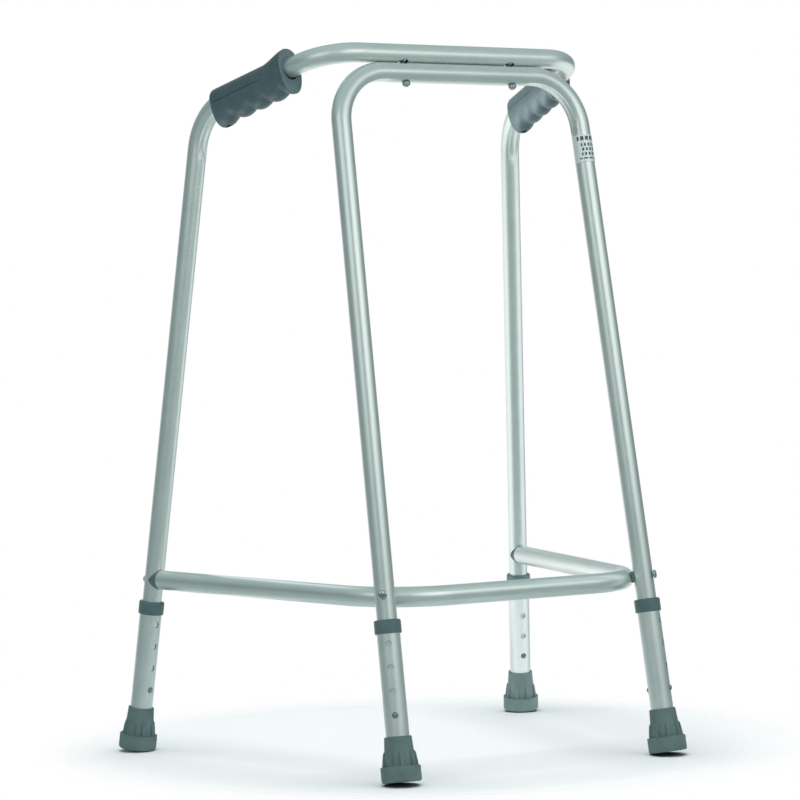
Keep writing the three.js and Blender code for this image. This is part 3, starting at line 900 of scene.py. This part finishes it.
def edge_inset(along):
    """How far the rounded ends pull the outside in."""
    for radius, from_end in ((REAR_ROUNDING, along), (FRONT_ROUNDING, GRIP_LENGTH - along)):
        if from_end < radius:
            return radius - math.sqrt(max(0.0, radius**2 - (radius - from_end) ** 2))
    return 0.0


def grip_angles():
    """Even steps round the grip, with close ones on either side of the two parting lines."""
    line = -math.asin((PARTING_DROP / GRIP_DROP) ** (GRIP_ROUNDNESS / 2)) % (2 * math.pi)
    half_line = PARTING_HALF_ANGLE
    angles = [2 * math.pi * k / GRIP_SIDES for k in range(GRIP_SIDES)]
    marks = []
    for middle in (line, 3 * math.pi - line):
        angles = [a for a in angles if abs(a - middle) > 2 * half_line]
        marks += [(middle - half_line, 0), (middle, 1), (middle + half_line, 0)]
    return sorted([(a, 0) for a in angles] + marks)


def grip_ring(along, angles):
    """The outside of the grip at one place. The grooves and the parting line are cut into it."""
    power = 2 / GRIP_ROUNDNESS
    groove = groove_share(along)
    seam = PARTING_DEPTH * (1 - ramp(along, 70, 112))
    inset = edge_inset(along)
    ring = []
    for angle, on_line in angles:
        c, s = math.cos(angle), math.sin(angle)
        finger = groove * ramp(-s, 0.30, 0.92)
        reach = (grip_top(along) if s > 0 else grip_bottom(along) - GROOVE_DEPTH * finger) - inset
        half = GRIP_HALF_WIDTH - inset - FINGER_SQUEEZE * finger - seam * on_line
        x = half * math.copysign(abs(c) ** power, c)
        y = reach * math.copysign(abs(s) ** power, s)
        ring.append(Vector((x, y, along)))
    return ring


def bore_ring(radius, along, angles, drop=0.0):
    """The inside of the grip at one place, its lower half deeper by drop."""
    ring = []
    for angle, _ in angles:
        c, s = math.cos(angle), math.sin(angle)
        ring.append(Vector((radius * c, (radius + (drop if s < 0 else 0.0)) * s, along)))
    return ring


def make_grip(hand, side):
    rear_corner = point(RAIL_REAR_CORNER, side)
    forward = (point(RAIL_FRONT_CORNER, side) - rear_corner).normalized()
    start = rear_corner + forward * GRIP_START
    sideways = UP.cross(forward).normalized()
    upward = forward.cross(sideways)
    placement = Matrix((sideways, upward, forward)).transposed().to_4x4()
    placement.translation = start

    angles = grip_angles()
    quarter = [math.radians(a) for a in range(0, 91, 6)]
    rear_steps = [REAR_ROUNDING * (1 - math.cos(a)) for a in quarter[:-1:2]]
    middle_steps = list(np.arange(REAR_ROUNDING, GRIP_LENGTH - FRONT_ROUNDING - 0.1, 1.0))
    front_steps = [GRIP_LENGTH - FRONT_ROUNDING * (1 - math.sin(a)) for a in quarter[::5]]
    bore = TUBE_RADIUS + GAP
    tight_bore, wide_bore = TUBE_RADIUS + 0.05, bore + 1.6
    rings = [grip_ring(along, angles) for along in rear_steps + middle_steps + front_steps]
    rings += [
        bore_ring(tight_bore, GRIP_LENGTH, angles, 2.2), bore_ring(bore, GRIP_LENGTH - 12, angles),
        bore_ring(bore, 18, angles), bore_ring(wide_bore, 16.5, angles), bore_ring(wide_bore, 0, angles),
    ]
    grip = make_object("grip", moved(skin(rings, closed=True), placement))
    vent = turned([(0, -34), (3.9, -34), (3.9, -20), (0, -20)], 32)
    vent = moved(vent, placement @ Matrix.Translation((0, 0, 10)) @ Matrix.Rotation(-math.pi / 2, 4, "X"))
    combine(grip, vent, "DIFFERENCE")
    add_piece(grip, f"{hand}_handgrip", VINYL, sharp=30)


# ---- Label: a blank foil with plain printed bars ----

# Bands of printed blocks in mm: bottom, top, rows, block pitch, gap, where the blocks start
FOIL_BANDS = [
    (24.2, 30.6, 1, 5.6, 2.0, -10.5),
    (6.6, 22.6, 3, 4.4, 2.2, -6.5),
    (2.6, 5.8, 1, 6.6, 1.8, -9.5),
]


def foil_material():
    """Pale foil with rows of plain printed blocks, the top row large."""
    paper, ink, shine = (0.96, 1.0, 0.98), (0.10, 0.14, 0.14), 0.35
    recipe = Recipe("foil", paper, shine, 0.42)
    place = recipe.add("ShaderNodeAttribute", attribute_name="grain").outputs["Vector"]
    split = recipe.add("ShaderNodeSeparateXYZ")
    recipe.links.new(place, split.inputs["Vector"])
    printed = None
    for low, high, count, width, gap, start in FOIL_BANDS:
        moved_down = recipe.add("ShaderNodeVectorMath", operation="SUBTRACT")
        recipe.links.new(place, moved_down.inputs[0])
        moved_down.inputs[1].default_value = (start * MM, low * MM, 0)
        blocks = recipe.add("ShaderNodeTexBrick", offset=0.37, offset_frequency=2)
        blocks.inputs["Scale"].default_value = 1.0
        blocks.inputs["Mortar Smooth"].default_value = 0.3
        row_height = (high - low) / count
        for name, size in (("Brick Width", width), ("Row Height", row_height), ("Mortar Size", gap / 2)):
            blocks.inputs[name].default_value = size * MM
        recipe.links.new(moved_down.outputs["Vector"], blocks.inputs["Vector"])
        share = recipe.spread(blocks.outputs["Fac"], 1, 0, 0, 1)
        edges = (("Y", "GREATER_THAN", low), ("Y", "LESS_THAN", high), ("X", "GREATER_THAN", start))
        for socket, operation, limit in edges:
            inside = recipe.math(operation, split.outputs[socket], limit * MM)
            share = recipe.math("MULTIPLY", share, inside)
        printed = share if printed is None else recipe.math("MAXIMUM", printed, share)
    recipe.set("Base Color", recipe.tint(printed, paper, ink))
    recipe.set("Metallic", recipe.spread(printed, shine, 0.0, 0, 1))
    recipe.set("Normal", recipe.bump(recipe.noise(recipe.object_point(), 900), 0.03 * MM, 0.3))
    return recipe.material


def make_label():
    """The foil, its ends square, with each point's place on the flat sheet stored for its print."""
    inner = TUBE_RADIUS + GAP
    outer = inner + LABEL_THICKNESS
    half_turn = math.radians(85)
    middle_turn = math.radians(-50)
    steps = 40
    rings, flat = [], []
    for k in range(steps + 1):
        angle = middle_turn - half_turn + 2 * half_turn * k / steps
        c, s = math.cos(angle), math.sin(angle)
        low, high = LABEL_BOTTOM, LABEL_BOTTOM + LABEL_HEIGHT
        rings.append([
            Vector((outer * c, outer * s, low)), Vector((outer * c, outer * s, high)),
            Vector((inner * c, inner * s, high)), Vector((inner * c, inner * s, low)),
        ])
        across = outer * (angle - middle_turn)
        flat += [(across, 0), (across, LABEL_HEIGHT), (across, LABEL_HEIGHT), (across, 0)]
    points, faces = skin(rings)
    last = len(points) - 4
    faces += [(3, 2, 1, 0), (last, last + 1, last + 2, last + 3)]
    label = make_object("label", moved((points, faces), FRONT_LEFT.placement))
    attribute = label.data.attributes.new("grain", "FLOAT_VECTOR", "POINT")
    for row, (across, height) in zip(attribute.data, flat):
        row.vector = (across * MM, height * MM, 0)
    add_piece(label, "front_left_label", foil_material())


# ---- Building it all ----

make_tubes()
for leg in LEGS:
    make_extension(leg)
    make_collar(leg)
    make_ferrule(leg)
    make_button(leg, "outer", 1)
    make_button(leg, "inner", -1)
for (leg, origin, placement), spin in zip(REAR_JOINTS, (0.3, 0.9)):
    make_rear_joint(leg, origin, placement, spin)
for joint, spin in zip(FRONT_JOINTS, (0.25, 0.6)):
    make_front_joint(joint, spin)
for hand, placement in TOP_JOINTS:
    make_top_joint(hand, placement)
for hand, side in (("right", -1), ("left", 1)):
    make_grip(hand, side)
make_label()


def give_material(node, material):
    for slot in frame["nodes"][node].material_slots:
        slot.material = material


for leg in LEGS:
    give_material(f"{leg.name}_spring_clip", SPRING_STEEL)
    give_material(f"{leg.name}_ferrule_washer", ZINC)


# ---- Floor, light and camera ----

VIEW_YAW = 0.568
VIEW_PITCH = -0.028
VIEW_ROLL = -0.019
CAMERA_PLACE = (-1.937, -2.9795, 0.5012)
CAMERA_LENS = 139.59
SENSOR_WIDTH = 36
AHEAD = Vector((math.sin(VIEW_YAW), math.cos(VIEW_YAW), 0))
RIGHT = Vector((math.cos(VIEW_YAW), -math.sin(VIEW_YAW), 0))
MIDDLE = Vector((0, 0, 0.40))

FLOOR_RADIUS = 0.60
FLOOR_PALE = (0.385, 0.390, 0.392)
# Painted shade: the floor's colour right by the feet, blended out to FLOOR_PALE over FOOT_SHADE_REACH
FLOOR_PAINTED_SHADE = (0.345, 0.360, 0.365)
FLOOR_SEEN_BY_OTHERS = (0.25, 0.28, 0.28)
FOOT_SHADE_REACH = 0.16
FADE_START = 0.335
FADE_END = 0.47
STUDIO_TINT = (0.82, 1.0, 1.0)

# The dome's brightness from straight down (0) through level (0.5) to straight up (1)
DOME_STEPS = [(0.0, 0.42), (0.42, 0.42), (0.49, 0.28), (0.60, 0.28), (0.78, 0.48), (1.0, 0.60)]
# Where the glow behind the object starts and is full, by the cosine of the angle from its middle
GLOW_START = 0.66
GLOW_FULL = 0.82


def make_floor():
    """A pale round floor with painted shade round the feet, which fades out a little way past them."""
    rings, sides = 24, 96
    profile = [[Vector((0, 0, 0))]]
    for i in range(1, rings + 1):
        reach = FLOOR_RADIUS * i / rings / MM
        angles = (2 * math.pi * k / sides for k in range(sides))
        profile.append([Vector((reach * math.cos(a), reach * math.sin(a), 0)) for a in angles])
    floor = make_object("floor", skin(profile))
    recipe = Recipe("floor", FLOOR_PALE, 0.0, 0.7)
    recipe.shader.inputs["Specular IOR Level"].default_value = 0.0
    foot_distance = None
    for leg in LEGS:
        away = recipe.distance_to(Vector((leg.sole.x, leg.sole.y, 0)) * MM)
        foot_distance = away if foot_distance is None else recipe.math("MINIMUM", foot_distance, away)
    # Painted shade round the feet: the floor's colour is darker near each sole
    from_foot = recipe.spread(foot_distance, 0, 1, 0, FOOT_SHADE_REACH, "SMOOTHSTEP")
    recipe.set("Base Color", recipe.tint(from_foot, FLOOR_PAINTED_SHADE, FLOOR_PALE))
    dim = recipe.add("ShaderNodeBsdfDiffuse")
    dim.inputs["Color"].default_value = (*FLOOR_SEEN_BY_OTHERS, 1)
    clear = recipe.add("ShaderNodeBsdfTransparent")
    from_middle = recipe.distance_to(AHEAD * 0.05)
    fade = recipe.spread(from_middle, 0, 1, FADE_START, FADE_END, "SMOOTHSTEP")
    lit = recipe.mix_shader(recipe.add("ShaderNodeLightPath").outputs["Is Camera Ray"], dim, recipe.shader)
    faded = recipe.mix_shader(fade, lit, clear)
    recipe.links.new(faded.outputs[0], recipe.nodes["Material Output"].inputs["Surface"])
    floor.data.materials.append(recipe.material)


def make_world():
    """White to the camera; to everything else a dim studio that is bright behind the object."""
    world = bpy.data.worlds.new("studio")
    bpy.context.scene.world = world
    world.use_nodes = True
    graph = Graph(world.node_tree)
    graph.nodes.clear()
    where = graph.add("ShaderNodeTexCoord").outputs["Generated"]

    split = graph.add("ShaderNodeSeparateXYZ")
    graph.links.new(where, split.inputs["Vector"])
    dome = graph.add("ShaderNodeValToRGB")
    steps = dome.color_ramp.elements
    while len(steps) < len(DOME_STEPS):
        steps.new(0.5)
    for step, (place, light) in zip(steps, DOME_STEPS):
        step.position = place
        step.color = (light * 0.80, light, light * 1.01, 1)
    graph.links.new(graph.spread(split.outputs["Z"], 0, 1, -1, 1), dome.inputs["Fac"])

    behind = graph.add("ShaderNodeVectorMath", operation="DOT_PRODUCT")
    behind.inputs[1].default_value = (AHEAD - RIGHT * 0.2 - UP * 0.45).normalized()
    graph.links.new(where, behind.inputs[0])
    glow = graph.spread(behind.outputs["Value"], 0, 1, GLOW_START, GLOW_FULL, "SMOOTHSTEP")
    mixed = graph.add("ShaderNodeMix", data_type="RGBA")
    graph.links.new(glow, mixed.inputs["Factor"])
    graph.links.new(dome.outputs["Color"], mixed.inputs["A"])
    mixed.inputs["B"].default_value = (1, 1, 1, 1)

    studio = graph.add("ShaderNodeBackground")
    graph.links.new(mixed.outputs["Result"], studio.inputs["Color"])
    white = graph.add("ShaderNodeBackground")
    white.inputs["Color"].default_value = (1, 1, 1, 1)
    seen = graph.mix_shader(graph.add("ShaderNodeLightPath").outputs["Is Camera Ray"], studio, white)
    output = graph.add("ShaderNodeOutputWorld")
    graph.links.new(seen.outputs[0], output.inputs["Surface"])


def add_softbox(name, place, target, size, brightness, color=(1, 1, 1), lights_only=()):
    """A soft rectangular light of that face brightness, for everything or for a few objects."""
    width, height = size
    data = bpy.data.lights.new(name, "AREA")
    data.shape = "RECTANGLE"
    data.size = width
    data.size_y = height
    data.energy = brightness * math.pi * width * height
    data.color = color
    light = bpy.data.objects.new(name, data)
    light.location = place
    light.rotation_mode = "QUATERNION"
    light.rotation_quaternion = (target - place).to_track_quat("-Z", "Y")
    light.visible_camera = False
    bpy.context.scene.collection.objects.link(light)
    if lights_only:
        receivers = bpy.data.collections.new(name)
        for receiver in lights_only:
            receivers.objects.link(bpy.data.objects[receiver])
        light.light_linking.receiver_collection = receivers


def level_direction(turn):
    """The camera's side of the object, turned by that many degrees to the camera's right."""
    return -AHEAD * math.cos(math.radians(turn)) + RIGHT * math.sin(math.radians(turn))


def around(turn, elevation, distance):
    """A place that far from the object's middle."""
    rise = math.radians(elevation)
    return MIDDLE + (level_direction(turn) * math.cos(rise) + UP * math.sin(rise)) * distance


def make_studio_lights():
    add_softbox("softbox_right", around(37, 22, 2.2), MIDDLE, (1.6, 0.95), 1.3, (1.0, 0.99, 0.95))
    add_softbox("softbox_side", around(71, 20, 2.2), MIDDLE, (1.1, 0.85), 0.55)
    add_softbox("softbox_left", around(-28, 22, 2.2), MIDDLE, (1.35, 0.85), 0.95, (0.97, 1.0, 1.0))
    add_softbox("floor_light", UP * 1.7, UP * 0, (1.8, 1.8), 8.0, lights_only=["floor"])


def make_far_leg_lights():
    """Two upright reflectors beside the rear left leg, and light that comes up at it from the floor."""
    rail_and_brace = ["hand_rail_tube_detailed", "lower_brace_tube_detailed"]
    lower_leg = [f"rear_left_{part}_detailed" for part in ("leg_extension", "ferrule", "collar")]
    far_side = [*rail_and_brace, "left_handgrip_detailed", *lower_leg]
    far_leg = Vector((REAR_FOOT[0], REAR_FOOT[1], 0)) * MM + UP * 0.36
    for name, turn, brightness in (("reflector_left", -85, 0.8), ("reflector_right", 82, 0.65)):
        place = far_leg + level_direction(turn) * 0.40
        add_softbox(name, place, far_leg, (0.55, 0.72), brightness, lights_only=far_side)
    bounce = far_leg - AHEAD * 0.35
    bounce.z = 0.002
    add_softbox("floor_bounce", bounce, bounce + UP, (0.9, 0.7), 0.40, lights_only=lower_leg)


def make_grip_lights():
    """A fill for the left grip, and one from the front and one from below for the right grip."""
    left_grip, right_grip = ["left_handgrip_detailed"], ["right_handgrip_detailed"]
    far_grip = Vector((0.195, 0.03, 0.74))
    place = far_grip + Vector((-0.22, 0.20, -0.12))
    add_softbox("far_grip_light", place, far_grip, (0.25, 0.25), 3.6, STUDIO_TINT, left_grip)
    near_grip = Vector((-0.19, 0.03, 0.76))
    place = near_grip + Vector((0.10, -0.60, 0.20))
    add_softbox("near_grip_front", place, near_grip, (0.4, 0.4), 3.8, (0.92, 1.0, 0.95), right_grip)
    place = near_grip - RIGHT * 0.34 - UP * 0.54 + AHEAD * 0.06
    add_softbox("near_grip_low", place, near_grip, (0.3, 0.3), 2.4, STUDIO_TINT, right_grip)


def make_camera():
    data = bpy.data.cameras.new("camera")
    data.sensor_width = SENSOR_WIDTH
    data.lens = CAMERA_LENS
    data.clip_start, data.clip_end = 0.05, 50
    camera = bpy.data.objects.new("camera", data)
    turn = Matrix.Rotation(-VIEW_YAW, 4, "Z")
    pitch = Matrix.Rotation(math.pi / 2 + VIEW_PITCH, 4, "X")
    roll = Matrix.Rotation(VIEW_ROLL, 4, "Z")
    camera.matrix_world = Matrix.Translation(CAMERA_PLACE) @ turn @ pitch @ roll
    bpy.context.scene.collection.objects.link(camera)
    bpy.context.scene.camera = camera


make_floor()
make_world()
make_studio_lights()
make_far_leg_lights()
make_grip_lights()
make_camera()
bpy.context.scene.view_settings.view_transform = "Standard"
